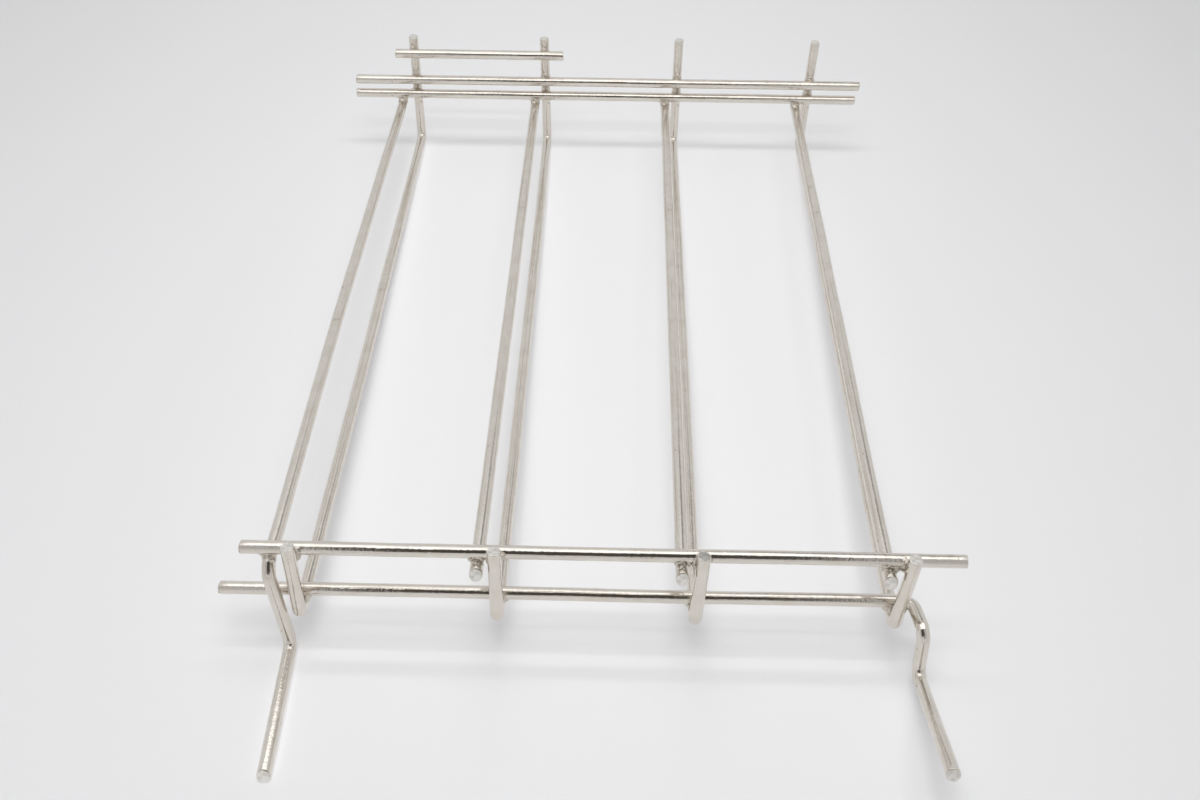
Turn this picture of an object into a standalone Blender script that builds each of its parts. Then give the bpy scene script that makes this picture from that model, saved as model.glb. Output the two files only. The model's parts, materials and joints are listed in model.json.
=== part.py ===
"""Small welded wire rack in nickel-plated steel, standing on one prong and its back bends.

Four U-shaped wires run from front to back and turn up at both ends. Four straight deck wires
lie higher, just to the left of them. Two bars tie the front together and three tie the back.
The first deck wire and the lower front bar carry on past the front, bent into two prongs.
It is all one diameter of wire, joined by a resistance weld wherever two wires cross.

Rack frame: X runs across, Y from front to back and Z up. The front uprights stand at Y = 0 and
the bottom runs lie at Z = 0, measured to the wire's centreline. The empty "rack_frame" carries
every piece, and tilts and lifts the rack onto the floor at world Z = 0.
"""

from math import atan2, cos, radians, sin, tan

import bmesh
import bpy
from mathutils import Euler, Matrix, Vector

# Wire and joints
WIRE_DIAMETER = 0.005
WIRE_RADIUS = WIRE_DIAMETER / 2
WELD_GAP = 0.0003                       # left open between pieces, so that each stays its own solid
CROSSING = WIRE_DIAMETER + WELD_GAP     # centre to centre where two wires cross
FRONT_BEND_RADIUS = 0.003
BACK_BEND_RADIUS = 0.005
PRONG_TURN_RADIUS = 0.007
TIGHT_BEND_RADIUS = 0.005
WELD_RING_RADIUS = 0.0023
WELD_RING_WIDTH = 0.0017
WELD_RING_DEPTH = 0.0042
WELD_RING_TURN = radians(8)             # keeps the ring's own facets off the wires' facets

# U-shaped wires
U_COUNT = 4
U_PITCH = 0.0743
U_SHIFT = -0.0005
U_DEPTH = 0.345
FRONT_UPRIGHT_TOP = 0.0385
BACK_UPRIGHT_TOP = 0.0632
FRONT_LEANS = (radians(3.0), radians(1.5), radians(1.5), radians(1.5))
BACK_LEANS = (radians(1.3), 0.0, radians(0.4), radians(1.2))

# Bars across the front, with the X of their ends
UPPER_BAR_Z = 0.032
UPPER_BAR_ENDS = (-0.1289, 0.1323)
LOWER_BAR_Y = 0.0072
LOWER_BAR_LEFT_END = -0.1429

# Bars across the back: height, X of both ends, and how many U-shaped wires each one ties
BACK_BARS = {
    "back_short_bar": (0.0553, -0.1203, -0.0270, 2),
    "back_middle_bar": (0.0397, -0.1444, 0.1396, U_COUNT),
    "back_lower_bar": (0.0311, -0.1455, 0.1380, U_COUNT),
}

# Deck wires, and how far each lies to the left of its U-shaped wire
DECK_OFFSETS = (0.0075, 0.0060, 0.0060, 0.0060)
DECK_FRONT_Y = -0.0015
DECK_BACK_OVERHANG = 0.0020

# Prongs: where the wire turns out of the rack, then the corners that follow, down to the tip
LEFT_PRONG_TURN_Y = -0.0002
LEFT_PRONG = ((-0.1175, -0.0023, -0.0161), (-0.1161, -0.0568, -0.0187))
RIGHT_PRONG_TURN_X = 0.1179
RIGHT_PRONG = ((0.1194, -0.0084, 0.0073), (0.1201, -0.0122, -0.0135), (0.1179, -0.0660, 0.0097))

# Mesh detail
WIRE_BEVEL_RESOLUTION = 4
STEPS_PER_BEND = 6
WELD_SEGMENTS = 14
WELD_SECTION_SEGMENTS = 8

NICKEL = (0.80, 0.77, 0.72, 1.0)
WELD_NICKEL = (0.70, 0.66, 0.60, 1.0)

# Places worked out from the sizes above
U_X = [U_SHIFT + (i - (U_COUNT - 1) / 2) * U_PITCH for i in range(U_COUNT)]
DECK_X = [x - offset for x, offset in zip(U_X, DECK_OFFSETS)]
BACK_BAR_Y = U_DEPTH - CROSSING
LOWEST_BACK_BAR_Z = BACK_BARS["back_lower_bar"][0]
DECK_FRONT_Z = UPPER_BAR_Z - CROSSING
DECK_BACK_Z = LOWEST_BACK_BAR_Z - CROSSING

# Stance: the rack stands on the left prong's tip and the back bends, so it leans back
LEFT_TIP_DROP = -LEFT_PRONG[-1][2]
LEFT_TIP_TO_BACK_BEND = U_DEPTH - BACK_BEND_RADIUS - LEFT_PRONG[-1][1]
STANCE = Euler((-atan2(LEFT_TIP_DROP, LEFT_TIP_TO_BACK_BEND), 0.0, 0.0))


def clear_scene():
    for obj in list(bpy.data.objects):
        bpy.data.objects.remove(obj, do_unlink=True)


def make_collection(name):
    collection = bpy.data.collections.new(name)
    bpy.context.scene.collection.children.link(collection)
    return collection


def plated_material(name, colour, roughness):
    material = bpy.data.materials.new(name)
    material.use_nodes = True
    shader = material.node_tree.nodes["Principled BSDF"]
    shader.inputs["Base Color"].default_value = colour
    shader.inputs["Metallic"].default_value = 1.0
    shader.inputs["Roughness"].default_value = roughness
    return material


# --- Wires -----------------------------------------------------------------------------------

def rounded_route(corners, radii=()):
    """Straight runs between the corners, with a circular bend of its own radius at each turn."""
    corners = [Vector(corner) for corner in corners]
    points = [corners[0]]
    for before, corner, after, radius in zip(corners, corners[1:], corners[2:], radii):
        arriving = (corner - before).normalized()
        leaving = (after - corner).normalized()
        turn = arriving.angle(leaving)
        inward = (leaving - arriving * cos(turn)).normalized()
        start = corner - arriving * radius * tan(turn / 2)
        centre = start + inward * radius
        for step in range(STEPS_PER_BEND + 1):
            angle = turn * step / STEPS_PER_BEND
            points.append(centre + radius * (arriving * sin(angle) - inward * cos(angle)))
    points.append(corners[-1])
    return points


def wire_object(name, points, radius, collection, root):
    curve = bpy.data.curves.new(name, "CURVE")
    curve.dimensions = "3D"
    curve.bevel_depth = radius
    curve.bevel_resolution = WIRE_BEVEL_RESOLUTION
    curve.use_fill_caps = True
    spline = curve.splines.new("POLY")
    spline.points.add(len(points) - 1)
    for spline_point, place in zip(spline.points, points):
        spline_point.co = (*place, 1.0)
    wire = bpy.data.objects.new(name, curve)
    wire.parent = root
    collection.objects.link(wire)
    return wire


def weld_clearance(name, points, cutters, root):
    """The wire grown by the weld gap, as a closed mesh that the welds are cut back with."""
    grown = wire_object(name + "_grown", points, WIRE_RADIUS + WELD_GAP, cutters, root)
    bpy.context.view_layer.update()
    evaluated = grown.evaluated_get(bpy.context.evaluated_depsgraph_get())
    mesh = bpy.data.meshes.new_from_object(evaluated)
    caps = bmesh.new()
    caps.from_mesh(mesh)
    bmesh.ops.remove_doubles(caps, verts=caps.verts, dist=0.00001)
    caps.to_mesh(mesh)
    caps.free()
    cutter = bpy.data.objects.new(name + "_clearance", mesh)
    cutter.parent = root
    cutter.matrix_world = grown.matrix_world
    cutter.hide_render = True
    cutter.display_type = "WIRE"
    cutters.objects.link(cutter)
    bpy.data.objects.remove(grown, do_unlink=True)
    return cutter


def lean_x(x, lean, height):
    return x + height * tan(lean)


def u_wire_route(index):
    x = U_X[index]
    front_top = (lean_x(x, FRONT_LEANS[index], FRONT_UPRIGHT_TOP), 0, FRONT_UPRIGHT_TOP)
    back_top = (lean_x(x, BACK_LEANS[index], BACK_UPRIGHT_TOP), U_DEPTH, BACK_UPRIGHT_TOP)
    corners = [front_top, (x, 0, 0), (x, U_DEPTH, 0), back_top]
    return rounded_route(corners, [FRONT_BEND_RADIUS, BACK_BEND_RADIUS])


def deck_wire_route(index):
    x = DECK_X[index]
    back = (x, BACK_BAR_Y + DECK_BACK_OVERHANG, DECK_BACK_Z)
    if index == 0:
        turn = (x, LEFT_PRONG_TURN_Y, DECK_FRONT_Z)
        return rounded_route([back, turn, *LEFT_PRONG], [PRONG_TURN_RADIUS, TIGHT_BEND_RADIUS])
    return rounded_route([back, (x, DECK_FRONT_Y, DECK_FRONT_Z)])


def front_bar_routes():
    upper = [(x, CROSSING, UPPER_BAR_Z) for x in UPPER_BAR_ENDS]
    lower = [(x, LOWER_BAR_Y, CROSSING) for x in (LOWER_BAR_LEFT_END, RIGHT_PRONG_TURN_X)]
    return {
        "front_upper_bar": rounded_route(upper),
        "front_lower_bar": rounded_route([*lower, *RIGHT_PRONG], [TIGHT_BEND_RADIUS] * 3),
    }


def back_bar_routes():
    routes = {}
    for name, (height, left, right, _) in BACK_BARS.items():
        routes[name] = rounded_route([(left, BACK_BAR_Y, height), (right, BACK_BAR_Y, height)])
    return routes


def all_wire_routes():
    routes = {f"u_wire_{i + 1}": u_wire_route(i) for i in range(U_COUNT)}
    routes.update({f"deck_wire_{i + 1}": deck_wire_route(i) for i in range(U_COUNT)})
    routes.update(front_bar_routes())
    routes.update(back_bar_routes())
    return routes


# --- Welds -----------------------------------------------------------------------------------

def weld_ring_mesh():
    """The ring of metal pressed out around a contact, deeper than it is wide, about its Z axis."""
    bpy.ops.mesh.primitive_torus_add(
        major_segments=WELD_SEGMENTS, minor_segments=WELD_SECTION_SEGMENTS,
        major_radius=WELD_RING_RADIUS, minor_radius=WELD_RING_WIDTH / 2,
    )
    primitive = bpy.context.object
    mesh = primitive.data
    mesh.transform(Matrix.Diagonal((1, 1, WELD_RING_DEPTH / WELD_RING_WIDTH, 1)))
    mesh.transform(Matrix.Rotation(WELD_RING_TURN, 4, "Z"))
    bpy.data.objects.remove(primitive, do_unlink=True)
    return mesh


def weld_object(name, ring, contact, across, wires, parts, root):
    """A weld ring at a crossing, cut back so that it stays clear of both wires."""
    weld = bpy.data.objects.new(name, ring.copy())
    weld.parent = root
    weld.location = contact
    weld.rotation_euler = across.to_track_quat("Z", "Y").to_euler()
    parts.objects.link(weld)
    for wire in wires:
        cut = weld.modifiers.new("clear_of_" + wire.name, "BOOLEAN")
        cut.operation = "DIFFERENCE"
        cut.solver = "EXACT"
        cut.object = wire
    return weld


def weld_sites():
    """Name, contact point, direction across the contact and the two wires of every weld."""
    up, back = Vector((0, 0, 1)), Vector((0, 1, 0))
    for i, (u_x, deck_x) in enumerate(zip(U_X, DECK_X)):
        number, u_wire, deck_wire = i + 1, f"u_wire_{i + 1}", f"deck_wire_{i + 1}"
        upright_x = lean_x(u_x, FRONT_LEANS[i], UPPER_BAR_Z)
        yield (f"weld_front_upper_u_{number}", (upright_x, CROSSING / 2, UPPER_BAR_Z), back,
               ("front_upper_bar", u_wire))
        yield (f"weld_front_upper_deck_{number}", (deck_x, CROSSING, UPPER_BAR_Z - CROSSING / 2), up,
               ("front_upper_bar", deck_wire))
        yield (f"weld_front_lower_u_{number}", (u_x, LOWER_BAR_Y, CROSSING / 2), up,
               ("front_lower_bar", u_wire))
        yield (f"weld_back_lower_deck_{number}",
               (deck_x, BACK_BAR_Y, LOWEST_BACK_BAR_Z - CROSSING / 2), up,
               ("back_lower_bar", deck_wire))
        for bar, (height, _, _, tied_wires) in BACK_BARS.items():
            if i < tied_wires:
                upright_x = lean_x(u_x, BACK_LEANS[i], height)
                yield (f"weld_{bar.removesuffix('_bar')}_u_{number}",
                       (upright_x, U_DEPTH - CROSSING / 2, height), back, (bar, u_wire))


# --- Stance ----------------------------------------------------------------------------------

def stand_on_floor(root, parts):
    """Move the rack so that its box is centred on the origin and stands on Z = 0."""
    bpy.context.view_layer.update()
    depsgraph = bpy.context.evaluated_depsgraph_get()
    corners = []
    for part in parts.objects:
        evaluated = part.evaluated_get(depsgraph)
        mesh = evaluated.to_mesh()
        corners += [part.matrix_world @ vertex.co for vertex in mesh.vertices]
        evaluated.to_mesh_clear()
    low = Vector(min(c[axis] for c in corners) for axis in range(3))
    high = Vector(max(c[axis] for c in corners) for axis in range(3))
    root.location -= Vector(((low.x + high.x) / 2, (low.y + high.y) / 2, low.z))


def main():
    clear_scene()
    parts = make_collection("wire_rack")
    cutters = make_collection("weld_cutters")
    root = bpy.data.objects.new("rack_frame", None)
    root.rotation_euler = STANCE
    bpy.context.scene.collection.objects.link(root)

    clearances = {}
    for name, points in all_wire_routes().items():
        wire = wire_object(name, points, WIRE_RADIUS, parts, root)
        wire.data.materials.append(plated_material(name, NICKEL, 0.12))
        clearances[name] = weld_clearance(name, points, cutters, root)
    ring = weld_ring_mesh()
    for name, contact, across, wires in weld_sites():
        weld = weld_object(name, ring, contact, across, [clearances[w] for w in wires], parts, root)
        weld.data.materials.append(plated_material(name, WELD_NICKEL, 0.30))
    stand_on_floor(root, parts)


main()
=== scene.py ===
"""Looks of a welded wire rack: bright nickel-plated wires, lumpy welds, sheared ends and a pale studio."""

import json
import math

import bpy
import numpy as np
from bpy.props import FloatProperty, FloatVectorProperty, IntProperty, PointerProperty
from mathutils import Matrix, Quaternion, Vector, noise


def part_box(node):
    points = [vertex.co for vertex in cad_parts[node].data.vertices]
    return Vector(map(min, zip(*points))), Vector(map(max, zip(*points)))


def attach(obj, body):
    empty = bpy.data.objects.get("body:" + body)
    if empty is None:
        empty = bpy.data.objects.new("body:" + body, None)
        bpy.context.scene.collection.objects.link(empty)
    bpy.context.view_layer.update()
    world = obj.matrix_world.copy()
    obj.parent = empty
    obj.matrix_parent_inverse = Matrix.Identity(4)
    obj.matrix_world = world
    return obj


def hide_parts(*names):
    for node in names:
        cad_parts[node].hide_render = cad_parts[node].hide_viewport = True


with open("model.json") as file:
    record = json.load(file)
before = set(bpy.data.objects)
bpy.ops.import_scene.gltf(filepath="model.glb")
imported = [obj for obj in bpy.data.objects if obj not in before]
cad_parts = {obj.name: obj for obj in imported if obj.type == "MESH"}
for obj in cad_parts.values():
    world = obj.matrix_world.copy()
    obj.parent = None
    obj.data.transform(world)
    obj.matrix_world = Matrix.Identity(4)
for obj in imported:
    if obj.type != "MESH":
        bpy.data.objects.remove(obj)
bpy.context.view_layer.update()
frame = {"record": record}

bl_info = {
    "name": "Wire Rack",
    "version": (1, 0, 0),
    "blender": (4, 5, 0),
    "location": "View3D > Sidebar > Wire Rack",
    "description": "Builds the plated wires, welds and studio of a wire rack",
    "category": "Add Mesh",
}

MM = 0.001
COLUMNS = (1, 2, 3, 4)
CROSSING_GAP = 0.3 * MM


# ---------------------------------------------------------------- where things are


def middle(node):
    """The middle of a CAD node's box."""
    low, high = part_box(node)
    return (low + high) / 2


def thickness(node):
    """How thick a wire that lies along X is."""
    low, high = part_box(node)
    return high.z - low.z


class Rack:
    """The rack's own axes, which lean on the table, and the lines its wires lie on."""

    def __init__(self):
        low, top = middle("back_lower_bar"), middle("back_short_bar")
        self.across = Vector((1, 0, 0))
        self.up = Vector((0, top.y - low.y, top.z - low.z)).normalized()
        self.back = self.up.cross(self.across)
        self.radius = thickness("back_middle_bar") / 2
        self.crossing = 2 * self.radius + CROSSING_GAP
        self.front_plane = middle("front_upper_bar").dot(self.back) - self.crossing
        runs = [middle(f"weld_front_lower_u_{n}").dot(self.up) for n in COLUMNS]
        self.run_level = sum(runs) / len(runs) - self.crossing / 2
        self.depth = self.y(middle("back_middle_bar")) + self.crossing

    def at(self, x, y, z):
        """A point from its distance across, behind the front uprights and above the bottom runs."""
        return (
            self.across * x
            + self.back * (self.front_plane + y)
            + self.up * (self.run_level + z)
        )

    def y(self, point):
        """How far a point is behind the front uprights."""
        return point.dot(self.back) - self.front_plane

    def z(self, point):
        """How far a point is above the bottom runs."""
        return point.dot(self.up) - self.run_level

    def mount(self, name):
        """A mount's place and the way it points."""
        found = next(m for m in frame["record"]["mounts"] if m["name"] == name)
        return Vector(found["pos_m"]), Vector(found["axis"]).normalized()


rack = Rack()


# ---------------------------------------------------------------- routes

WANDER_LENGTH = 0.06
# How far from each end of the deck a bow begins
BOW_MARGIN = 0.02


def rounded(corners, radii, straight_step, turn_step):
    """Points along straight runs joined by round bends."""
    points = [corners[0].copy()]

    def run_to(end):
        start = points[-1]
        count = max(1, round((end - start).length / straight_step))
        points.extend(start.lerp(end, k / count) for k in range(1, count + 1))

    for before, corner, after, radius in zip(corners, corners[1:], corners[2:], radii):
        came, goes = (corner - before).normalized(), (after - corner).normalized()
        turn = came.angle(goes)
        reach = radius * math.tan(turn / 2)
        run_to(corner - came * reach)
        start = points[-1].copy()
        axis = came.cross(goes).normalized()
        centre = start + axis.cross(came) * radius
        count = max(2, round(turn / turn_step))
        for k in range(1, count + 1):
            spin = Quaternion(axis, turn * k / count)
            points.append(centre + spin @ (start - centre))
    run_to(corners[-1])
    return points


def bowed(points, sideways, amount, start, end):
    """The same points, bent sideways by amount half way between two distances along the rack."""
    made = []
    for p in points:
        share = (rack.y(p) - start) / (end - start)
        lift = math.sin(math.pi * share) if 0 < share < 1 else 0.0
        made.append(p + sideways * (amount * lift))
    return made


def wandered(points, seed, amount):
    """The same points with the slow wander of hand-straightened wire."""
    made, travelled = [], 0.0
    for k, p in enumerate(points):
        if k:
            travelled += (p - points[k - 1]).length
        at = Vector((travelled / WANDER_LENGTH, seed * 7.3, 0.5))
        elsewhere = (Vector((0, 0, 0)), Vector((0, 31, 0)), Vector((0, 0, 57)))
        drift = Vector([noise.noise(at + shift) for shift in elsewhere])
        made.append(p + drift * amount)
    return made


def u_wire_corners(n):
    """Front upright, bottom run and back upright of one long U wire."""
    run_x = middle(f"weld_front_lower_u_{n}").x
    front_bar, back_bar = middle("front_upper_bar"), middle("back_middle_bar")
    front_slope = (middle(f"weld_front_upper_u_{n}").x - run_x) / rack.z(front_bar)
    back_slope = (middle(f"weld_back_middle_u_{n}").x - run_x) / rack.z(back_bar)
    shape = bpy.context.scene.rack_wires
    front_top = rack.z(front_bar) + shape.front_rise
    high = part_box(f"u_wire_{n}")[1].z
    back_foot = rack.at(run_x, rack.depth, 0)
    back_top = (high - rack.radius * abs(rack.up.y) - back_foot.z) / rack.up.z
    return [
        rack.at(run_x + front_slope * front_top, 0, front_top),
        rack.at(run_x, 0, 0),
        back_foot,
        rack.at(run_x + back_slope * back_top, rack.depth, back_top),
    ]


def deck_line(n, y):
    """Where a deck wire's middle is at a distance behind the front uprights."""
    front, back = middle(f"weld_front_upper_deck_{n}"), middle(f"weld_back_lower_deck_{n}")
    front_y, back_y = rack.y(front), rack.y(back)
    share = (y - front_y) / (back_y - front_y)
    spot = front.lerp(back, share)
    return spot - rack.up * (rack.crossing / 2)


def deck_wire_corners(n):
    """A deck wire from its front end, or from its prong's tip, to its back end."""
    shape = bpy.context.scene.rack_wires
    back_end = deck_line(n, rack.depth - rack.crossing + shape.deck_overhang)
    if n != 1:
        return [deck_line(n, shape.deck_front), back_end]
    tip, axis = rack.mount("left_prong_tip")
    return [tip, tip - axis * shape.left_prong_run, deck_line(1, shape.left_turn), back_end]


def bar_ends(node):
    """The two ends of a bar that lies straight across the rack."""
    low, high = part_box(node)
    mid = (low + high) / 2
    return Vector((low.x, mid.y, mid.z)), Vector((high.x, mid.y, mid.z))


def front_lower_corners():
    """The lower front bar, which turns down and forward into the right prong."""
    shape = bpy.context.scene.rack_wires
    tip, axis = rack.mount("right_prong_tip")
    welds = [middle(f"weld_front_lower_u_{n}") for n in COLUMNS]
    y, z = rack.y(welds[0]), rack.crossing
    low = tip - axis * shape.right_prong_run
    rise = Vector(shape.right_prong_rise)
    high = low + rack.across * rise.x + rack.back * rise.y + rack.up * rise.z
    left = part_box("front_lower_bar")[0].x
    return [rack.at(left, y, z), rack.at(tip.x, y, z), high, low, tip]


# ---------------------------------------------------------------- wire meshes

# How many waves lie round a wire, and the steps and rings that an end is made of
WAVES_ROUND = 0.9
ROLL_STEPS = 4
FACE_RINGS = (0.72, 0.5, 0.28, 0.1)
FACE_ROWS = len(FACE_RINGS) + 1


def turning_frames(points):
    """A tangent, a side and a top direction at each point, which turn no more than the wire does."""
    count = len(points)
    tangents = [
        (points[min(k + 1, count - 1)] - points[max(k - 1, 0)]).normalized()
        for k in range(count)
    ]
    seed = Vector((0, 0, 1)) if abs(tangents[0].z) < 0.9 else Vector((0, 1, 0))
    side = tangents[0].cross(seed).normalized()
    frames = []
    for k, tangent in enumerate(tangents):
        if k:
            side = tangents[k - 1].rotation_difference(tangent) @ side
            side = (side - tangent * side.dot(tangent)).normalized()
        frames.append((tangent, side, tangent.cross(side)))
    return frames


class Cut:
    """How a wire's end was sheared: its face's slope, the way it slopes, its rolled edge and its dish."""

    def __init__(self, slope=0.03, heading=0.0, roll=0.35 * MM, dish=0.05 * MM):
        self.slope, self.heading, self.roll, self.dish = slope, heading, roll, dish


def wire_mesh(name, points, cuts, seed, dents=()):
    """A wire swept along its points, with sheared ends. It keeps the straightened wire's coordinates."""
    shape = bpy.context.scene.rack_wires
    sides, radius = shape.sides, rack.radius
    frames = turning_frames(points)
    lengths = np.concatenate(
        [[0], np.cumsum([(b - a).length for a, b in zip(points, points[1:])])]
    )
    angles = np.linspace(0, 2 * math.pi, sides, endpoint=False)
    cos, sin = np.cos(angles), np.sin(angles)
    rings, drawn = [], []

    def ring(index, scale, along):
        """One ring of vertices at a share of the radius and moved along the wire."""
        tangent, side, top = (np.array(v) for v in frames[index])
        centre, at = np.array(points[index]), lengths[index]
        grow = np.empty(sides)
        for j in range(sides):
            x, y = cos[j] * WAVES_ROUND + seed * 3.1, sin[j] * WAVES_ROUND
            wave = noise.noise(Vector((x, y, at / shape.wave_length)))
            grow[j] = radius + shape.wave_height * wave
        for where, angle, depth, width in dents:
            turn = np.abs((angles - angle + math.pi) % (2 * math.pi) - math.pi) * radius
            near = np.exp(-((at - where) ** 2 + turn**2) / (2 * width**2))
            grow -= depth * near
        grow = grow * scale
        shift = np.zeros(sides) + along
        across = np.outer(cos * grow, side) + np.outer(sin * grow, top)
        rings.append(centre + across + np.outer(shift, tangent))
        drawn.append(np.stack([cos * grow, sin * grow, at + shift], 1))

    def end(index, cut, outward):
        """The rings of an end, from its side wall to its middle, in that order."""
        lean = cut.slope * radius * np.cos(angles - cut.heading) * outward
        made = []
        for step in range(ROLL_STEPS + 1):
            turn = step / ROLL_STEPS * math.pi / 2
            scale = 1 - cut.roll / radius * (1 - math.cos(turn))
            made.append((index, scale, lean * scale - outward * cut.roll * (1 - math.sin(turn))))
        for scale in FACE_RINGS:
            sag = cut.dish * (1 - scale**2) * outward
            made.append((index, scale, lean * scale - sag))
        return made

    for spec in reversed(end(0, cuts[0], -1)):
        ring(*spec)
    for k in range(1, len(points) - 1):
        ring(k, 1.0, 0.0)
    for spec in end(len(points) - 1, cuts[1], 1):
        ring(*spec)

    count = len(rings)
    verts = np.concatenate(rings)
    drawn = np.concatenate(drawn)
    faces, cut_face = [], []
    for k in range(count - 1):
        on_cut = k < FACE_ROWS or k >= count - 1 - FACE_ROWS
        for j in range(sides):
            a, b = k * sides + j, k * sides + (j + 1) % sides
            faces.append((a, b, b + sides, a + sides))
            cut_face.append(on_cut)
    faces.append(tuple(reversed(range(sides))))
    faces.append(tuple(range((count - 1) * sides, count * sides)))
    cut_face += [True, True]
    mesh = bpy.data.meshes.new(name)
    mesh.from_pydata(verts.tolist(), [], faces)
    mesh.polygons.foreach_set("material_index", [int(c) for c in cut_face])
    mesh.polygons.foreach_set("use_smooth", [True] * len(faces))
    kept = mesh.attributes.new("drawn", "FLOAT_VECTOR", "POINT")
    kept.data.foreach_set("vector", drawn.astype(np.float32).ravel())
    mesh.validate()
    mesh.update()
    return mesh


def add_piece(name, mesh, node, materials):
    """Puts a mesh in the scene as the piece that stands for a CAD node."""
    for material in materials:
        mesh.materials.append(material)
    piece = bpy.data.objects.new(name, mesh)
    bpy.context.scene.collection.objects.link(piece)
    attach(piece, "root")
    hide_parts(node)


ROUTES = {}


def add_wire(node, corners, radii, cuts, seed, bow=0.0, dents=()):
    """Builds one wire and keeps its route for the welds."""
    shape = bpy.context.scene.rack_wires
    points = rounded(corners, radii, shape.straight_step, math.radians(shape.turn_step))
    points = wandered(points, seed, shape.wander)
    if bow:
        points = bowed(points, rack.across, bow, BOW_MARGIN, rack.depth - BOW_MARGIN)
    ROUTES[node] = points
    name = f"{node}_plated"
    mesh = wire_mesh(name, points, cuts, seed, dents)
    add_piece(name, mesh, node, [finish("nickel_plate"), finish("cut_end")])


# ---------------------------------------------------------------- weld meshes

# Room left round a bead, and how far beyond it a wire's route still counts, in millimetres
MARGIN = 1.6
NEARBY = 6
# How softly lumps join a bead and its reach ends it, and how it is closed at its box, in millimetres
LUMP_BLEND = 1.4
EDGE_BLEND = 1.2
CLOSED = 0.1
# The bead's two sizes of unevenness in millimetres, and the share of the finer one
COARSE_GRAIN = 1.9
FINE_GRAIN = 0.8
FINE_SHARE = 0.45


def surface_of(field, low, step):
    """A closed quad mesh where a sampled field is zero, by surface nets."""
    inside = field < 0
    nx, ny, nz = field.shape
    total = np.zeros((nx - 1, ny - 1, nz - 1, 3))
    hits = np.zeros((nx - 1, ny - 1, nz - 1))
    corner = {
        (i, j, k): field[i : nx - 1 + i, j : ny - 1 + j, k : nz - 1 + k]
        for i in (0, 1)
        for j in (0, 1)
        for k in (0, 1)
    }
    for start in corner:
        for axis in range(3):
            if start[axis]:
                continue
            stop = tuple(1 if a == axis else s for a, s in enumerate(start))
            a, b = corner[start], corner[stop]
            crossed = (a < 0) != (b < 0)
            share = np.where(crossed, a / np.where(a == b, 1, a - b), 0)
            for d in range(3):
                place = start[d] + (share if d == axis else 0)
                total[..., d] += np.where(crossed, place, 0)
            hits += crossed
    used = hits > 0
    index = -np.ones(used.shape, int)
    index[used] = np.arange(used.sum())
    cells = np.argwhere(used)
    verts = low + step * (cells + total[used] / hits[used][:, None])
    faces = []
    for axis in range(3):
        u, v = [(1, 2), (2, 0), (0, 1)][axis]
        change = inside != np.roll(inside, -1, axis)
        for cell in np.argwhere(change):
            if cell[axis] >= field.shape[axis] - 1 or cell[u] < 1 or cell[v] < 1:
                continue
            around = []
            for du, dv in ((0, 0), (-1, 0), (-1, -1), (0, -1)):
                c = cell.copy()
                c[u] += du
                c[v] += dv
                around.append(index[tuple(c)])
            faces.append(tuple(around if inside[tuple(cell)] else reversed(around)))
    return verts, faces


def nearest(points, line):
    """How far each point is from a line of closely spaced points."""
    line = np.array(line)
    near = np.full(len(points), 1e9)
    for a, b in zip(line, line[1:]):
        along = b - a
        share = np.clip((points - a) @ along / (along @ along), 0, 1)
        gap = points - (a + share[:, None] * along)
        near = np.minimum(near, np.einsum("ij,ij->i", gap, gap))
    return np.sqrt(near)


def soft_min(a, b, blend):
    """The lower of two fields, rounded where they meet."""
    mix = np.maximum(blend - np.abs(a - b), 0) / blend
    return np.minimum(a, b) - mix * mix * blend / 4


class Bead:
    """A weld's corner fill, its reach, its lumps, how rough it is, how far its painted shade reaches from
    the corner and how thick-skinned it is.
    """

    def __init__(self, fill=3.2, reach=4.2, lumps=(), rough=0.35, stain=2.6, skin=-0.12):
        self.fill, self.reach, self.lumps = fill, reach, lumps
        self.rough, self.stain, self.skin = rough, stain, skin


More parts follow.
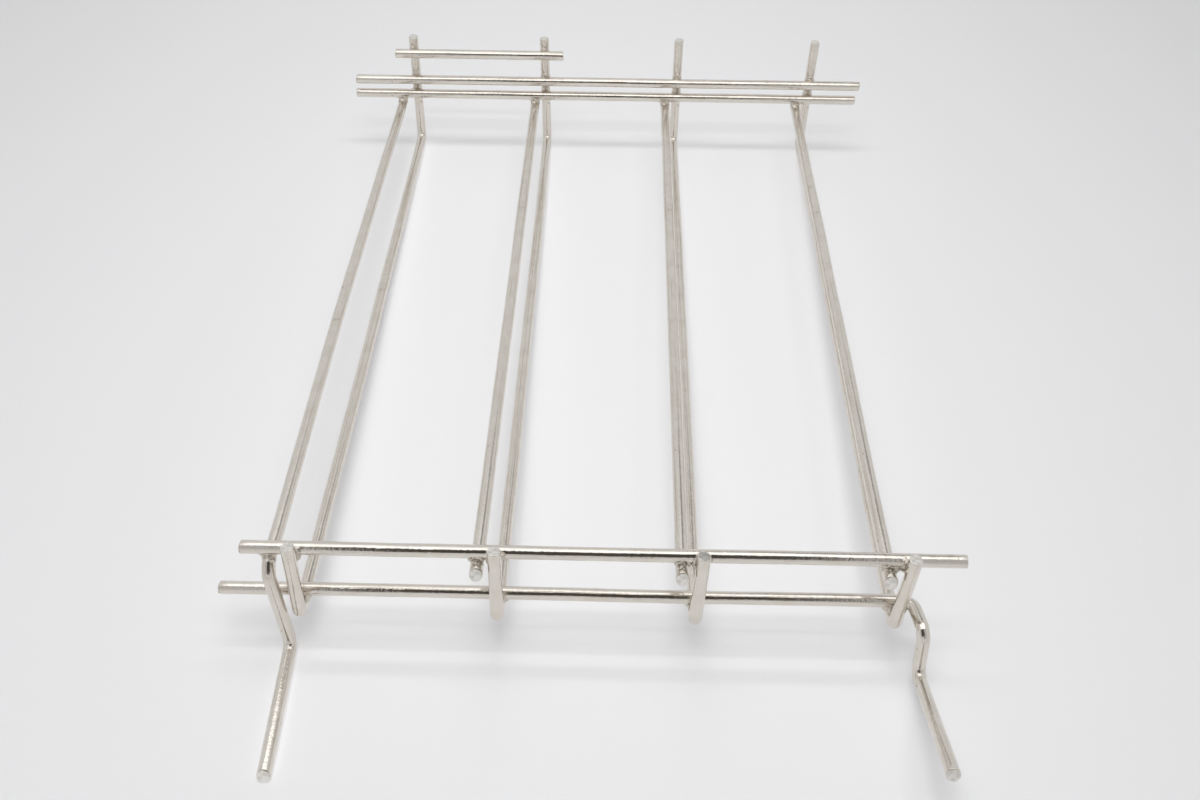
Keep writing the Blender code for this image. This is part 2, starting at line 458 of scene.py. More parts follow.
def weld_mesh(name, node, wires, bead, seed):
    """The metal squeezed out round a crossing of wires: a lumpy fillet that ends inside them."""
    shape = bpy.context.scene.rack_welds
    site = middle(node)
    half = (bead.reach + MARGIN) * MM
    step = shape.grain
    count = int(2 * half / step) + 1
    low = np.array(site) - half
    axis = np.arange(count) * step
    grid = np.stack(np.meshgrid(axis, axis, axis, indexing="ij"), -1) + low
    points = grid.reshape(-1, 3)
    inner = rack.radius + bead.skin * MM
    fields = []
    for wire in wires:
        route = ROUTES[wire]
        close = [k for k, p in enumerate(route) if (p - site).length < half + NEARBY * MM]
        first, last = max(close[0] - 1, 0), min(close[-1] + 2, len(route))
        fields.append(nearest(points, [tuple(p) for p in route[first:last]]) - inner)
    metal = fields[0]
    for other in fields[1:]:
        metal = soft_min(metal, other, bead.fill * MM)
    offset = points - np.array(site)
    for x, y, z, size in bead.lumps:
        centre = rack.across * x * MM + rack.back * y * MM + rack.up * z * MM
        lump = np.linalg.norm(offset - np.array(centre), axis=1) - size * MM
        metal = soft_min(metal, lump, LUMP_BLEND * MM)
    wobble = np.array(
        [
            noise.noise(Vector(p) / (COARSE_GRAIN * MM) + Vector((seed * 5.7, 0, 0)))
            + FINE_SHARE * noise.noise(Vector(p) / (FINE_GRAIN * MM) + Vector((0, seed * 3.3, 0)))
            for p in offset.tolist()
        ]
    )
    metal = metal + wobble * bead.rough * MM
    bound = np.linalg.norm(offset, axis=1) - bead.reach * MM
    field = -soft_min(-metal, -bound, EDGE_BLEND * MM)
    field = field.reshape(count, count, count)
    for side in range(3):
        edge = [slice(None)] * 3
        for end in (0, -1):
            edge[side] = end
            field[tuple(edge)] = np.maximum(field[tuple(edge)], CLOSED * MM)
    verts, faces = surface_of(field, low, step)
    mesh = bpy.data.meshes.new(name)
    mesh.from_pydata(verts.tolist(), [], faces)
    mesh.polygons.foreach_set("use_smooth", [True] * len(faces))
    # Painted shade: how deep each point lies in the corner between the wires, kept as an attribute for the
    # weld's shader
    gaps = np.stack([nearest(verts, [tuple(p) for p in ROUTES[w]]) for w in wires], 1)
    depth = np.sort(gaps, axis=1)[:, 1] - rack.radius
    heat = np.clip(1 - depth / (bead.stain * MM), 0, 1)
    kept = mesh.attributes.new("heat", "FLOAT", "POINT")
    kept.data.foreach_set("value", heat.astype(np.float32))
    mesh.validate()
    mesh.update()
    return mesh


def add_weld(node, wires, bead, seed):
    """Builds one weld as its own piece."""
    name = f"{node}_bead"
    mesh = weld_mesh(name, node, wires, bead, seed)
    add_piece(name, mesh, node, [finish("weld_metal")])


# ---------------------------------------------------------------- shader writing


class Value:
    """One number of a shader. Arithmetic on it adds Math nodes."""

    def __init__(self, graph, socket):
        self.graph, self.socket = graph, socket

    def _math(self, operation, *terms):
        return self.graph.node("ShaderNodeMath", {"operation": operation}, dict(enumerate(terms)))

    def __add__(self, other):
        return self._math("ADD", self, other)

    def __radd__(self, other):
        return self._math("ADD", other, self)

    def __sub__(self, other):
        return self._math("SUBTRACT", self, other)

    def __rsub__(self, other):
        return self._math("SUBTRACT", other, self)

    def __mul__(self, other):
        return self._math("MULTIPLY", self, other)

    def __rmul__(self, other):
        return self._math("MULTIPLY", other, self)

    def clamped(self, low, high):
        """The value kept between two limits."""
        return self.graph.node("ShaderNodeClamp", {}, {"Value": self, "Min": low, "Max": high})


class Graph:
    """The node tree of a material or a world."""

    def __init__(self, tree):
        self.tree = tree
        tree.nodes.clear()

    def node(self, kind, settings=None, sockets=None, out=0):
        """Adds a node: its settings first, then its sockets' values or links. Gives one of its outputs."""
        made = self.tree.nodes.new(kind)
        for name, value in (settings or {}).items():
            if name == "stops":
                ramp = made.color_ramp
                while len(ramp.elements) < len(value):
                    ramp.elements.new(0.5)
                for element, (place, colour) in zip(ramp.elements, value):
                    element.position, element.color = place, colour
            else:
                setattr(made, name, value)
        for name, value in (sockets or {}).items():
            if isinstance(value, Value):
                self.tree.links.new(value.socket, made.inputs[name])
            else:
                made.inputs[name].default_value = value
        return Value(self, made.outputs[out]) if made.outputs else made

    def noise(self, vector, scale, detail=2.0, roughness=0.5):
        """Smooth noise from 0 to 1 on a vector."""
        return self.node(
            "ShaderNodeTexNoise",
            {},
            {"Vector": vector, "Scale": scale, "Detail": detail, "Roughness": roughness},
        )

    def stretch(self, vector, sizes):
        """A vector with each part multiplied."""
        return self.node(
            "ShaderNodeVectorMath", {"operation": "MULTIPLY"}, {0: vector, 1: sizes}
        )

    def ramp(self, value, low, high):
        """0 below low, 1 above high and smooth between."""
        return self.node(
            "ShaderNodeMapRange",
            {"interpolation_type": "SMOOTHSTEP"},
            {"Value": value, "From Min": low, "From Max": high},
        )

    def blend(self, share, first, second):
        """A colour between two colours."""
        return self.node(
            "ShaderNodeMix", {"data_type": "RGBA"}, {0: share, 6: first, 7: second}, out=2
        )

    def bump(self, height, distance, under=None):
        """A normal raised by a height of 0 to 1 over a distance."""
        sockets = {"Height": height, "Distance": distance}
        if under is not None:
            sockets["Normal"] = under
        return self.node("ShaderNodeBump", {}, sockets)


def rgba(colour):
    """A colour with its alpha."""
    return (*colour, 1.0)


def finish(name):
    """A material by name, made the first time it is asked for."""
    known = bpy.data.materials.get(name)
    if known:
        return known
    material = bpy.data.materials.new(name)
    material.use_nodes = True
    FINISHES[name](Graph(material.node_tree), bpy.context.scene.rack_finish)
    return material


def surface(graph, colour, roughness, normal, metallic=1.0):
    """Ends a material in one Principled shader."""
    shader = graph.node(
        "ShaderNodeBsdfPrincipled",
        {"distribution": "MULTI_GGX"},
        {"Base Color": colour, "Roughness": roughness, "Metallic": metallic, "Normal": normal},
    )
    graph.node("ShaderNodeOutputMaterial", {}, {"Surface": shader})


# Cells of noise in a metre: across the wire, through it and along it
FINE_LINES = (3800, 3800, 55)
DIE_LINES = (900, 900, 26)
CLOUDS = (260, 260, 170)
RIPPLES = (900, 900, 1100)
TORN_GRAIN = (2600, 700, 700)


def nickel_plate(graph, tint):
    """Bright nickel on drawn wire: lengthwise die lines, cloudy plating and a few brown specks."""
    drawn = graph.node("ShaderNodeAttribute", {"attribute_name": "drawn"}, out=1)
    fine = graph.noise(graph.stretch(drawn, FINE_LINES), 1.0, 2.0)
    broad = graph.noise(graph.stretch(drawn, DIE_LINES), 1.0, 2.0)
    cloud = graph.noise(graph.stretch(drawn, CLOUDS), 1.0, 3.0)
    ripples = graph.noise(graph.stretch(drawn, RIPPLES), 1.0, 2.0)
    dots = graph.noise(drawn, 620.0, 2.0, 0.6)
    specks = graph.ramp(dots, 0.7, 0.76)
    line = graph.ramp(broad, 0.56, 0.72)
    shade = graph.blend(graph.ramp(cloud, 0.3, 0.7), rgba(tint.nickel), rgba(tint.nickel_cloud))
    shade = graph.blend(line * 0.55, shade, rgba(tint.nickel_line))
    shade = graph.blend(specks * 0.8, shade, rgba(tint.speck))
    roughness = tint.gloss + (fine - 0.5) * 0.1 + (cloud - 0.5) * 0.12 + specks * 0.3
    normal = graph.bump(broad, 0.00006)
    normal = graph.bump(fine, 0.000012, normal)
    normal = graph.bump(ripples, 0.00008, normal)
    surface(graph, shade, roughness.clamped(0.06, 0.8), normal)


def cut_end(graph, tint):
    """A sheared and then plated wire end: dull, with the torn grain of the shear."""
    drawn = graph.node("ShaderNodeAttribute", {"attribute_name": "drawn"}, out=1)
    tear = graph.noise(graph.stretch(drawn, TORN_GRAIN), 1.0, 3.0)
    patch = graph.noise(drawn, 700.0, 2.0)
    shade = graph.blend(graph.ramp(patch, 0.35, 0.7), rgba(tint.cut), rgba(tint.cut_dark))
    roughness = 0.2 + (tear - 0.5) * 0.15
    normal = graph.bump(tear, 0.00002)
    surface(graph, shade, roughness.clamped(0.12, 0.9), normal)


def weld_metal(graph, tint):
    """Plated weld metal, pitted, with painted shade that makes it duller and browner deep in the corner.
    """
    place = graph.node("ShaderNodeTexCoord", {}, out=3)
    heat = graph.node("ShaderNodeAttribute", {"attribute_name": "heat"}, out=2)
    lumps = graph.noise(place, 900.0, 3.0, 0.6)
    pits = graph.noise(place, 2600.0, 2.0, 0.6)
    # Painted shade: dark brown deep in the corner between the wires, broken up by the lumps; it also makes
    # the metal duller
    painted_shade = graph.ramp(heat * 0.85 + (lumps - 0.5) * 0.9, 0.4, 0.8)
    shade = graph.blend(painted_shade, rgba(tint.weld), rgba(tint.weld_painted_shade))
    dark = graph.ramp(pits, 0.62, 0.74)
    shade = graph.blend(dark * 0.7, shade, rgba(tint.speck))
    roughness = 0.24 + painted_shade * 0.2 + (pits - 0.5) * 0.3
    normal = graph.bump(lumps, 0.00025)
    normal = graph.bump(pits, 0.00006, normal)
    surface(graph, shade, roughness.clamped(0.12, 0.9), normal)


def pale_table(graph, tint):
    """Plain pale table."""
    place = graph.node("ShaderNodeTexCoord", {}, out=3)
    tooth = graph.noise(place, 700.0, 2.0)
    shade = graph.blend(tooth, rgba(tint.table), rgba([c * 0.992 for c in tint.table]))
    surface(graph, shade, 0.9, graph.bump(tooth, 0.00002), 0.0)


FINISHES = {
    "nickel_plate": nickel_plate,
    "cut_end": cut_end,
    "weld_metal": weld_metal,
    "pale_table": pale_table,
}


# ---------------------------------------------------------------- settings


def length(name, description, default, low=0.0):
    """A length in metres."""
    return FloatProperty(
        name=name, description=description, default=default, min=low, unit="LENGTH", precision=5
    )


def distances(name, description, default):
    """A place or the two ends of a stretch, in metres."""
    count = len(default)
    return FloatVectorProperty(
        name=name, description=description, default=default, size=count, unit="LENGTH", precision=5
    )


def colour(name, description, default):
    """A colour of a finish."""
    return FloatVectorProperty(
        name=name, description=description, default=default, size=3, min=0, subtype="COLOR"
    )


def bright(name, description, default):
    """How bright something looks, where 1 is white."""
    return FloatProperty(name=name, description=description, default=default, min=0)


def fraction(name, description, default):
    """A part of a whole."""
    return FloatProperty(
        name=name, description=description, default=default, min=0, max=1, subtype="FACTOR"
    )


class RackWireSettings(bpy.types.PropertyGroup):
    """Sizes of the wires that the CAD boxes don't give."""

    sides: IntProperty(name="Sides", description="Sides of a wire's section", default=32, min=12)
    straight_step: length("Straight step", "Ring spacing along straight runs", 0.0035)
    turn_step: FloatProperty(name="Turn step", description="Degrees between rings in a bend", default=5.0)
    wave_length: length("Wave length", "Length of the waves in the wire's surface", 0.012)
    wave_height: length("Wave height", "Height of the waves in the wire's surface", 0.00005)
    wander: length("Wander", "How far a straight run wanders", 0.00022)
    front_bend: length("Front bend radius", "Radius of the U wires' front bends", 0.003)
    back_bend: length("Back bend radius", "Radius of the U wires' back bends", 0.005)
    prong_turn: length("Prong turn radius", "Radius of the left deck wire's turn into its prong", 0.007)
    tight_bend: length("Tight bend radius", "Radius of the prongs' small bends", 0.005)
    front_rise: length("Front rise", "Front upright's end above the upper bar's middle", 0.0065)
    deck_front: length("Deck front", "Deck wires' front ends, from the uprights", -0.0015, -1.0)
    deck_overhang: length("Deck overhang", "Deck wires behind the back bars", 0.002)
    left_turn: length("Left turn", "Where the left prong turns down", -0.0002, -1.0)
    left_prong_run: length("Left prong run", "Length of the left prong's low run", 0.0546)
    right_prong_run: length("Right prong run", "Length of the right prong's low run", 0.05863)
    right_prong_rise: distances(
        "Right prong rise", "From the right prong's lower bend to its upper one", (-0.0007, 0.0038, 0.0208)
    )
    left_bow: length("Left bow", "How far the left deck wire bows", -0.0009, -1.0)


class RackWeldSettings(bpy.types.PropertyGroup):
    """Sizes of the weld beads."""

    grain: length("Grain", "Spacing of the bead's surface points", 0.00042)


class RackFinishSettings(bpy.types.PropertyGroup):
    """Colours of the plating, welds and table."""

    nickel: colour("Nickel", "Bright plating", (0.745, 0.705, 0.645))
    nickel_cloud: colour("Nickel cloud", "Plating where it is cloudy", (0.70, 0.655, 0.59))
    nickel_line: colour("Nickel line", "Plating in a die line", (0.54, 0.49, 0.42))
    speck: colour("Speck", "Brown specks and pits", (0.11, 0.065, 0.04))
    cut: colour("Cut end", "Sheared end", (0.84, 0.82, 0.78))
    cut_dark: colour("Dark cut end", "Sheared end where it is duller", (0.70, 0.67, 0.62))
    weld: colour("Weld", "Plated weld metal", (0.62, 0.57, 0.5))
    # Painted shade deep in a weld's corner
    weld_painted_shade: colour("Weld painted shade", "Weld metal deep in the corner", (0.13, 0.095, 0.065))
    table: colour("Table", "Table top", (0.8, 0.8, 0.811))
    gloss: fraction("Gloss", "Roughness of the plating", 0.13)


class RackStudioSettings(bpy.types.PropertyGroup):
    """Camera, lights and reflections."""

    lens: FloatProperty(name="Lens", description="Focal length in millimetres", default=34.755, min=1)
    camera_place: distances("Camera place", "Where the camera is", (0.00768, -0.38476, 0.38773))
    camera_aim: distances(
        "Camera aim", "The point on the table that the camera looks at", (0.00114, -0.0095, 0.0)
    )
    camera_roll: FloatProperty(
        name="Camera roll", description="Turn about the line of sight", default=0.00636, unit="ROTATION"
    )
    level: bright("Table level", "How bright the table looks", 0.83)
    ceiling_share: fraction("Ceiling share", "Share of the table's light from the ceiling", 0.34)
    even_share: fraction("Even share", "Share of the table's light that is the same everywhere", 0.38)
    room: bright("Room", "Brightness of the room in the plating", 0.75)
    ceiling: bright("Ceiling", "Brightness of the ceiling in the plating", 1.65)
    ceiling_edge: bright("Ceiling edge", "Brightness in the plating of the ceiling's back part", 1.0)
    ceiling_height: length("Ceiling height", "Height of the ceiling seen in the plating", 0.7)
    ceiling_front: length("Ceiling front", "Where the ceiling's light ends in front", -0.334, -1.0)
    ceiling_back: length("Ceiling back", "Where the ceiling's light ends behind", 0.182)
    ceiling_edge_back: length("Ceiling edge back", "Where the ceiling's back part ends", 0.5)
    ceiling_half_width: length("Ceiling half width", "Half the width of the ceiling's light", 0.42)
    side: bright("Front side", "Brightness in the plating of what stands in front", 0.55)
    shade: bright("Shade", "Brightness in the plating of the dark place in front", 0.07)
    shade_across: distances("Shade across", "Where the dark place begins and ends across", (-0.20, 0.165))
    shade_rise: distances("Shade rise", "Where the dark place begins and ends in height", (-0.25, 0.17))
    corner: bright("Back corner", "Brightness in the plating of the room's back corner", 0.38)


SETTINGS = {
    "rack_wires": RackWireSettings,
    "rack_welds": RackWeldSettings,
    "rack_finish": RackFinishSettings,
    "rack_studio": RackStudioSettings,
}


# ---------------------------------------------------------------- operators


INNER_SIDE = -math.pi / 2
# Pinches in a wire's surface: distance along the wire, angle round it, depth and width
LEFT_PRONG_DENTS = (
    (0.0538, INNER_SIDE, 0.25 * MM, 0.6 * MM),
    (0.0556, INNER_SIDE, 0.25 * MM, 0.6 * MM),
)
BACK_BEND_DENTS = (
    (0.3801, INNER_SIDE, 0.2 * MM, 0.55 * MM),
    (0.3820, INNER_SIDE, 0.2 * MM, 0.55 * MM),
)

# Creases that run round the right prong: the corner they lie before, how far before it and their depth
RIGHT_PRONG_CREASES = ((1, 1.0 * MM, 0.14 * MM), (2, 2.0 * MM, 0.1 * MM))
CREASE_WIDTH = 0.5 * MM


class RackOperator:
    """What every step shares."""

    bl_options = {"REGISTER", "UNDO"}


class RACK_OT_u_wires(RackOperator, bpy.types.Operator):
    """Builds the four long U wires"""

    bl_idname = "rack.u_wires"
    bl_label = "U Wires"

    def execute(self, context):
        shape = context.scene.rack_wires
        for n in COLUMNS:
            cuts = (
                Cut(slope=0.16, heading=n * 0.9, roll=0.3 * MM),
                Cut(slope=0.1, heading=2.1 * n, roll=0.4 * MM),
            )
            radii = (shape.front_bend, shape.back_bend)
            add_wire(f"u_wire_{n}", u_wire_corners(n), radii, cuts, n, dents=BACK_BEND_DENTS)
        return {"FINISHED"}


class RACK_OT_deck_wires(RackOperator, bpy.types.Operator):
    """Builds the four deck wires, the left one with its prong"""

    bl_idname = "rack.deck_wires"
    bl_label = "Deck Wires"

    def execute(self, context):
        shape = context.scene.rack_wires
        for n in COLUMNS:
            cuts = (
                Cut(slope=0.5, heading=math.pi / 2, roll=0.35 * MM),
                Cut(slope=0.1, heading=2.0 * n, roll=0.5 * MM),
            )
            radii = (shape.tight_bend, shape.prong_turn) if n == 1 else ()
            bow = shape.left_bow if n == 1 else 0.0
            dents = LEFT_PRONG_DENTS if n == 1 else ()
            add_wire(f"deck_wire_{n}", deck_wire_corners(n), radii, cuts, 10 + n, bow, dents)
        return {"FINISHED"}


class RACK_OT_front_bars(RackOperator, bpy.types.Operator):
    """Builds the two front bars, the lower one with its prong"""

    bl_idname = "rack.front_bars"
    bl_label = "Front Bars"

    def execute(self, context):
        shape = context.scene.rack_wires
        ends = (Cut(0.08, 0.5), Cut(0.1, 2.0))
        add_wire("front_upper_bar", list(bar_ends("front_upper_bar")), (), ends, 21)
        tight = shape.tight_bend
        corners = front_lower_corners()
        reached = np.cumsum([(b - a).length for a, b in zip(corners, corners[1:])])
        creases = [
            (float(reached[corner]) - before, turn, depth, CREASE_WIDTH)
            for corner, before, depth in RIGHT_PRONG_CREASES
            for turn in range(6)
        ]
        add_wire("front_lower_bar", corners, (tight, tight, tight), ends, 22, dents=creases)
        return {"FINISHED"}


class RACK_OT_back_bars(RackOperator, bpy.types.Operator):
    """Builds the three back bars"""

    bl_idname = "rack.back_bars"
    bl_label = "Back Bars"

    def execute(self, context):
        for k, node in enumerate(("back_short_bar", "back_middle_bar", "back_lower_bar")):
            ends = (Cut(0.12, k * 1.3), Cut(0.1, 2.2 * k + 1))
            add_wire(node, list(bar_ends(node)), (), ends, 31 + k)
        return {"FINISHED"}


# Lumps of metal beside the welds, in millimetres from the weld's middle: across, back, up and radius
FRONT_UPPER_LUMPS = {
    1: ((2.8, -0.2, -2.4, 0.8),),
    2: ((2.8, -0.4, 1.6, 0.6), (-2.7, -0.2, -2.2, 0.6)),
    3: ((-2.9, -0.2, -2.5, 0.9), (2.8, -0.4, 1.4, 0.5)),
    4: ((-2.9, -0.2, -2.6, 0.9), (2.7, 0.0, -1.0, 0.5)),
}
FRONT_DECK_LUMPS = {
    1: ((2.4, -2.4, -2.2, 0.9),),
    2: ((-2.3, -2.6, 1.0, 1.0), (2.2, -2.7, 1.3, 0.8)),
    3: ((-2.5, -2.6, 1.2, 1.1), (2.3, -2.8, 0.6, 0.8)),
    4: ((2.7, -3.2, 0.9, 1.4), (-2.2, -2.4, 1.4, 0.8)),
}
FRONT_LOWER_LUMPS = {
    1: ((2.7, -0.4, 0.2, 0.9),),
    2: ((2.7, -0.6, 0.3, 0.9),),
    3: ((-2.8, -0.6, 0.2, 1.0),),
    4: ((-2.8, -0.5, 0.2, 1.0), (-2.2, -1.2, 1.6, 0.7)),
}
BACK_LUMPS = ((0.4, 0.6, 3.0, 0.8), (-0.5, 0.6, -3.1, 0.9))
BACK_DECK_LUMPS = ((0.3, -2.9, -1.6, 0.9), (-1.2, -2.6, -1.2, 0.7))


class RACK_OT_front_welds(RackOperator, bpy.types.Operator):
    """Builds the welds along the two front bars"""

    bl_idname = "rack.front_welds"
    bl_label = "Front Welds"

    def execute(self, context):
        for n in COLUMNS:
            upper, lower = "front_upper_bar", "front_lower_bar"
            u_wire, deck_wire = f"u_wire_{n}", f"deck_wire_{n}"
            bead = Bead(3.2, 4.6, FRONT_UPPER_LUMPS[n])
            add_weld(f"weld_front_upper_u_{n}", (upper, u_wire), bead, n)
            bead = Bead(3.4, 4.6, FRONT_DECK_LUMPS[n], rough=0.5)
            add_weld(f"weld_front_upper_deck_{n}", (upper, deck_wire), bead, 10 + n)
            bead = Bead(4.2, 5.0, FRONT_LOWER_LUMPS[n])
            add_weld(f"weld_front_lower_u_{n}", (lower, u_wire), bead, 20 + n)
        return {"FINISHED"}


class RACK_OT_back_welds(RackOperator, bpy.types.Operator):
    """Builds the welds along the three back bars"""

    bl_idname = "rack.back_welds"
    bl_label = "Back Welds"

    def execute(self, context):
        # The back welds' painted shade reaches farther from the corner, up and down the uprights between
        # the bars
        bead = Bead(2.8, 4.7, BACK_LUMPS, rough=0.3, stain=6.5, skin=0.04)
        deck_bead = Bead(3.0, 4.6, BACK_DECK_LUMPS, stain=6.5, skin=0.02)
        for n in COLUMNS:
            add_weld(f"weld_back_lower_deck_{n}", ("back_lower_bar", f"deck_wire_{n}"), deck_bead, 30 + n)
            add_weld(f"weld_back_lower_u_{n}", ("back_lower_bar", f"u_wire_{n}"), bead, 40 + n)
            add_weld(f"weld_back_middle_u_{n}", ("back_middle_bar", f"u_wire_{n}"), bead, 50 + n)
        for n in COLUMNS[:2]:
            add_weld(f"weld_back_short_u_{n}", ("back_short_bar", f"u_wire_{n}"), Bead(), 60 + n)
        return {"FINISHED"}


def card(name, corners, brightness):
    """A flat card that only the plating's reflections see."""
    mesh = bpy.data.meshes.new(name)
    mesh.from_pydata(corners, [], [(0, 1, 2, 3)])
    material = bpy.data.materials.new(name)
    material.use_nodes = True
    graph = Graph(material.node_tree)
    glow = graph.node("ShaderNodeEmission", {}, {"Color": rgba(brightness), "Strength": 1.0})
    graph.node("ShaderNodeOutputMaterial", {}, {"Surface": glow})
    mesh.materials.append(material)
    made = bpy.data.objects.new(name, mesh)
    for ray in ("camera", "diffuse", "transmission", "volume_scatter", "shadow"):
        setattr(made, f"visible_{ray}", False)
    bpy.context.scene.collection.objects.link(made)


# Points along each side of a light that its spread is summed over
SPREAD_GRID = 41


def area_light(name, place, size, share, studio, shadow=True):
    """A soft light above the table that gives a share of its brightness and isn't seen in the plating."""
    light = bpy.data.lights.new(name, "AREA")
    light.shape, light.size, light.size_y = "RECTANGLE", size[0], size[1]
    height = place[2]
    across = np.linspace(-0.5, 0.5, SPREAD_GRID)
    x, y = np.meshgrid(across * size[0], across * size[1])
    spread = np.mean(height**4 / (height**2 + x**2 + y**2) ** 2)
    albedo = bpy.context.scene.rack_finish.table[0]
    light.use_shadow = shadow
    light.energy = share * studio.level * (math.pi * height) ** 2 / (albedo * spread)
    made = bpy.data.objects.new(name, light)
    made.location = place
    made.visible_glossy = False
    made.visible_camera = False
    bpy.context.scene.collection.objects.link(made)


def even_light(name, share, studio):
    """Light straight down, without shadows, that gives a share of the table's brightness."""
    light = bpy.data.lights.new(name, "SUN")
    light.energy = share * studio.level * math.pi / bpy.context.scene.rack_finish.table[0]
    light.use_shadow = False
    made = bpy.data.objects.new(name, light)
    made.visible_glossy = False
    bpy.context.scene.collection.objects.link(made)


# A strip's length for each metre of its height
STRIP_LENGTH = 0.9
# A strip's place behind the middle of the table, its height, its width and its share of the light
STRIPS = {
    "front_strip": (-0.230, 0.775, 0.05, 0.12),
    "middle_strip": (-0.057, 1.266, 0.144, 0.022),
    "back_strip": (0.171, 0.869, 0.03, 0.115),
    "high_strip": (-0.011, 2.218, 0.05, 0.08),
}

# The ceiling light's place, then its size
CEILING_LIGHT = (-0.04, 0.05, 0.8), (0.3, 2.6)
# How many wire crossings above the bottom runs the cards face
FRONT_MIDDLE = 6
# The camera's dark shape stands a share of the way to the rack, and the front card a share behind it
SHADE_NEARER = 0.08
SHADE_TINT = (1.1, 1.0, 0.88)
FRONT_CARD_FARTHER = 0.1
FRONT_CARD_ACROSS = (-0.6, 0.6)
FRONT_CARD_RISE = (-0.35, 0.21)
CORNER_CARD_PLACE = (0.22, 0.33, 0.5)
CORNER_CARD_REACH = (-0.125, 0.125)
TABLE_REACH = 3.0
ROOM_COLOUR = (1.0, 1.0, 1.01, 1.0)


def facing_card(name, target, place, width, low, high, brightness):
    """A card at a place, square to the line to its target, reaching below and above that line."""
    line = (Vector(place) - target).normalized()
    side = line.cross(Vector((0, 0, 1))).normalized()
    top = side.cross(line)
    left, right = width
    spots = [(left, low), (right, low), (right, high), (left, high)]
    card(name, [tuple(Vector(place) + side * -x + top * z) for x, z in spots], brightness)


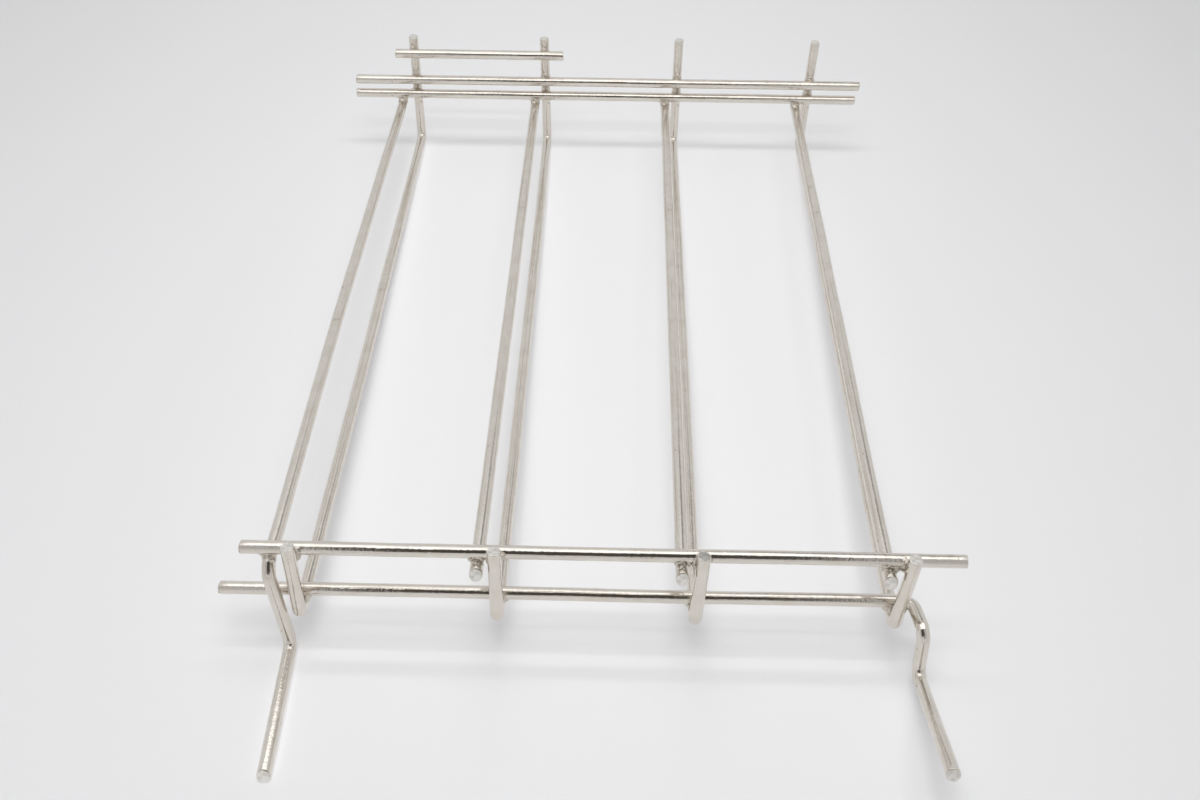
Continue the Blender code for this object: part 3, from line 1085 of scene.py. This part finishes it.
class RACK_OT_studio(RackOperator, bpy.types.Operator):
    """Builds the table, the room, the lights and the camera"""

    bl_idname = "rack.studio"
    bl_label = "Studio"

    def reflections(self, studio):
        """The cards that the plating shows: the ceiling, what stands in front and dark places."""
        front = rack.at(0, 0, rack.crossing * FRONT_MIDDLE)
        wide, z = studio.ceiling_half_width, studio.ceiling_height
        middle_y = studio.ceiling_back

        def ceiling_card(name, y0, y1, brightness):
            card(name, [(-wide, y0, z), (wide, y0, z), (wide, y1, z), (-wide, y1, z)], [brightness] * 3)

        ceiling_card("ceiling_card", studio.ceiling_front, middle_y, studio.ceiling)
        ceiling_card("ceiling_edge_card", middle_y, studio.ceiling_edge_back, studio.ceiling_edge)
        eye = Vector(studio.camera_place)
        shade = [studio.shade * c for c in SHADE_TINT]
        nearer, behind = eye.lerp(front, SHADE_NEARER), eye.lerp(front, -FRONT_CARD_FARTHER)
        facing_card("dark_card", front, nearer, studio.shade_across, *studio.shade_rise, shade)
        facing_card("front_card", front, behind, FRONT_CARD_ACROSS, *FRONT_CARD_RISE, [studio.side] * 3)
        corner, reach = CORNER_CARD_PLACE, CORNER_CARD_REACH
        facing_card("back_card", front, corner, reach, *reach, [studio.corner] * 3)

    def execute(self, context):
        studio, scene = context.scene.rack_studio, context.scene
        mesh = bpy.data.meshes.new("table")
        spots = [(x * TABLE_REACH, y * TABLE_REACH, 0) for x, y in ((-1, -1), (1, -1), (1, 1), (-1, 1))]
        mesh.from_pydata(spots, [], [(0, 1, 2, 3)])
        mesh.materials.append(finish("pale_table"))
        table = bpy.data.objects.new("table", mesh)
        scene.collection.objects.link(table)

        self.reflections(studio)
        for name, (y, z, width, share) in STRIPS.items():
            area_light(name, (0, y, z), (STRIP_LENGTH * z, width), share, studio)
        area_light("ceiling_light", *CEILING_LIGHT, studio.ceiling_share, studio, shadow=False)
        even_light("even_light", studio.even_share, studio)
        strips_share = sum(row[3] for row in STRIPS.values())
        sky_share = 1 - studio.ceiling_share - studio.even_share - strips_share
        sky = sky_share * studio.level / scene.rack_finish.table[0]

        world = bpy.data.worlds.new("room")
        scene.world = world
        world.use_nodes = True
        graph = Graph(world.node_tree)
        glossy = graph.node("ShaderNodeLightPath", {}, {}, out="Is Glossy Ray")
        seen = graph.node("ShaderNodeLightPath", {}, {}, out="Is Camera Ray")
        strength = sky + glossy * (studio.room - sky) + seen * (studio.level - sky)
        glow = graph.node("ShaderNodeBackground", {}, {"Color": ROOM_COLOUR, "Strength": strength})
        graph.node("ShaderNodeOutputWorld", {}, {"Surface": glow})

        camera = bpy.data.cameras.new("camera")
        camera.lens, camera.sensor_width = studio.lens, 36.0
        camera.clip_start, camera.clip_end = 0.01, 20.0
        made = bpy.data.objects.new("camera", camera)
        place, aim = Vector(studio.camera_place), Vector(studio.camera_aim)
        turn = (aim - place).to_track_quat("-Z", "Y") @ Quaternion((0, 0, 1), studio.camera_roll)
        made.matrix_world = Matrix.Translation(place) @ turn.to_matrix().to_4x4()
        scene.collection.objects.link(made)
        scene.camera = made
        scene.view_settings.view_transform = "Standard"
        return {"FINISHED"}


STEPS = (
    RACK_OT_u_wires,
    RACK_OT_deck_wires,
    RACK_OT_front_bars,
    RACK_OT_back_bars,
    RACK_OT_front_welds,
    RACK_OT_back_welds,
    RACK_OT_studio,
)


class RACK_PT_steps(bpy.types.Panel):
    """Lists the steps that build the rack."""

    bl_label = "Wire Rack"
    bl_idname = "RACK_PT_steps"
    bl_space_type = "VIEW_3D"
    bl_region_type = "UI"
    bl_category = "Wire Rack"

    def draw(self, context):
        for step in STEPS:
            self.layout.operator(step.bl_idname)
        for name, group in SETTINGS.items():
            box = self.layout.box()
            for prop in group.__annotations__:
                box.prop(getattr(context.scene, name), prop)


def register():
    for name, group in SETTINGS.items():
        bpy.utils.register_class(group)
        setattr(bpy.types.Scene, name, PointerProperty(type=group))
    for made in (*STEPS, RACK_PT_steps):
        bpy.utils.register_class(made)


def unregister():
    for made in reversed((*STEPS, RACK_PT_steps)):
        bpy.utils.unregister_class(made)
    for name, group in reversed(list(SETTINGS.items())):
        delattr(bpy.types.Scene, name)
        bpy.utils.unregister_class(group)


def main():
    """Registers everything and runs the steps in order."""
    register()
    bpy.ops.rack.u_wires()
    bpy.ops.rack.deck_wires()
    bpy.ops.rack.front_bars()
    bpy.ops.rack.back_bars()
    bpy.ops.rack.front_welds()
    bpy.ops.rack.back_welds()
    bpy.ops.rack.studio()


if __name__ == "__main__":
    main()
